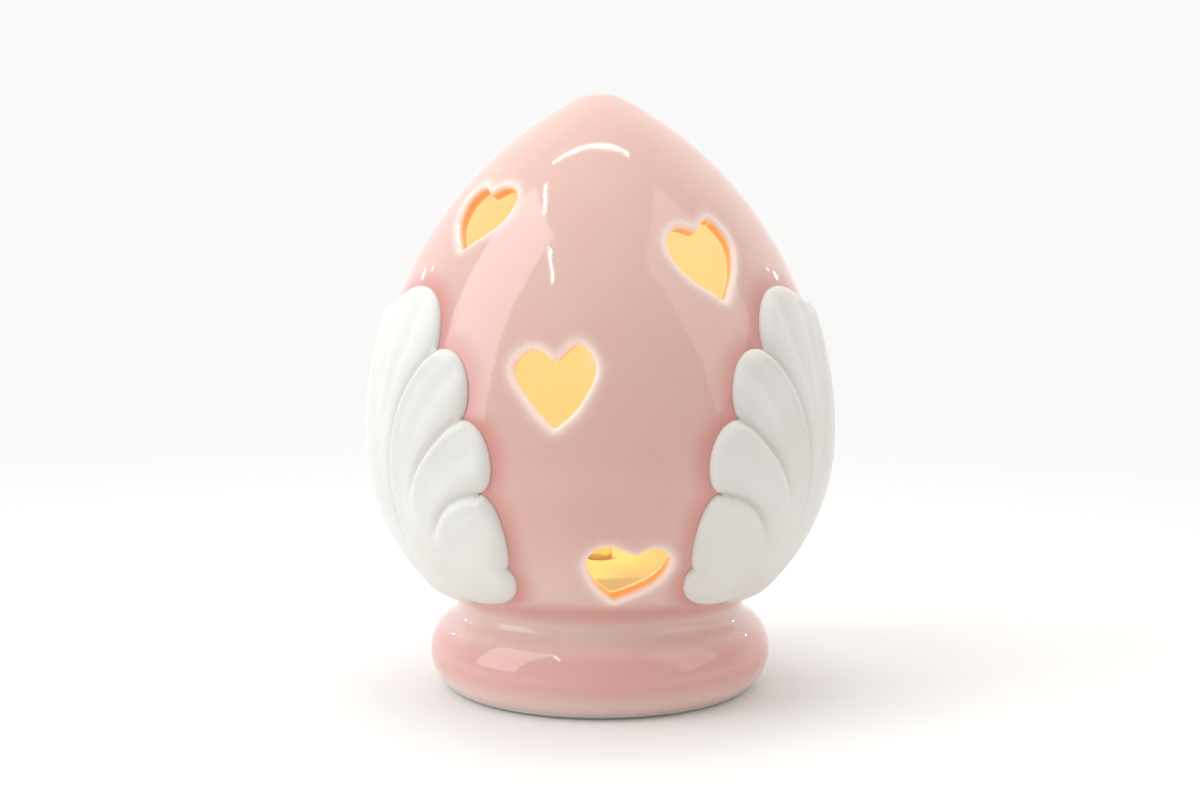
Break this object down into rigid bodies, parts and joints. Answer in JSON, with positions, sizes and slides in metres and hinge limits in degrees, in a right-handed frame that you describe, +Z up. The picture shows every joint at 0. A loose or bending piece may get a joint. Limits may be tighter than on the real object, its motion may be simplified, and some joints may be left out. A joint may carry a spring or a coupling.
{
  "type": "porcelain lantern",
  "caption": "Egg-shaped glazed porcelain lantern with heart cut-outs, leaf reliefs on both sides and a round foot that holds a pull-out battery light.",
  "frame": {"origin": "middle of the foot's standing ring, on the surface it stands on", "axes": "+Z up through the tip, front with the hearts towards -Y, the leaves towards -X and +X"},
  "size_m": [0.0958, 0.0916, 0.12],
  "materials": {
    "glazed_porcelain": "glossy pale pink glaze over white porcelain, darker where it pools",
    "bisque_porcelain": "unglazed white porcelain, matt and faintly chalky",
    "white_plastic": "fine-textured moulded plastic",
    "soft_ring": "milky silicone, satin",
    "screw_steel": "zinc-plated",
    "board": "green solder mask",
    "lamp_lens": "clear warm epoxy",
    "tinned_metal": "tinned",
    "resistor_body": "lacquered, with colour bands",
    "cell_steel": "nickel-plated",
    "contact_metal": "nickel-plated spring metal",
    "switch_metal": "tinned sheet",
    "black_plastic": "moulded",
    "red_insulation": "smooth",
    "black_insulation": "smooth"
  },
  "bodies": {
    "shell": {"porcelain_shell": "glazed_porcelain", "porcelain_side_left": "glazed_porcelain", "porcelain_side_right": "glazed_porcelain", "leaf_left": "bisque_porcelain", "leaf_right": "bisque_porcelain"},
    "light_unit": {"led_housing": "white_plastic", "led_base": "white_plastic", "grip_ring": "soft_ring", "base_screws": "screw_steel", "circuit_board": "board", "led_lens": "lamp_lens", "led_leads": "tinned_metal", "resistor": "resistor_body", "cell_1": "cell_steel", "cell_2": "cell_steel", "cell_3": "cell_steel", "contact_positive": "contact_metal", "contact_negative": "contact_metal", "switch_case": "switch_metal", "switch_terminals": "tinned_metal", "wire_positive": "red_insulation", "wire_switched": "red_insulation", "wire_negative": "black_insulation"},
    "battery_door": {"battery_door": "white_plastic"},
    "door_screw": {"door_screw": "screw_steel"},
    "switch_knob": {"switch_knob": "black_plastic"}
  },
  "joints": [
    {"name": "light_unit_pull", "type": "slide", "parent": "shell", "child": "light_unit", "axis": [0, 0, -1], "range_m": [0, 0.034]},
    {"name": "battery_door_lift", "type": "slide", "parent": "light_unit", "child": "battery_door", "axis": [0, 0, -1], "range_m": [0, 0.012]},
    {"name": "door_screw_turn", "type": "hinge", "parent": "battery_door", "child": "door_screw", "pos_m": [0.0138, 0.005, 0.001], "axis": [0, 0, 1], "continuous": true},
    {"name": "switch_slide", "type": "slide", "parent": "light_unit", "child": "switch_knob", "axis": [1, 0, 0], "range_m": [0, 0.002]}
  ]
}
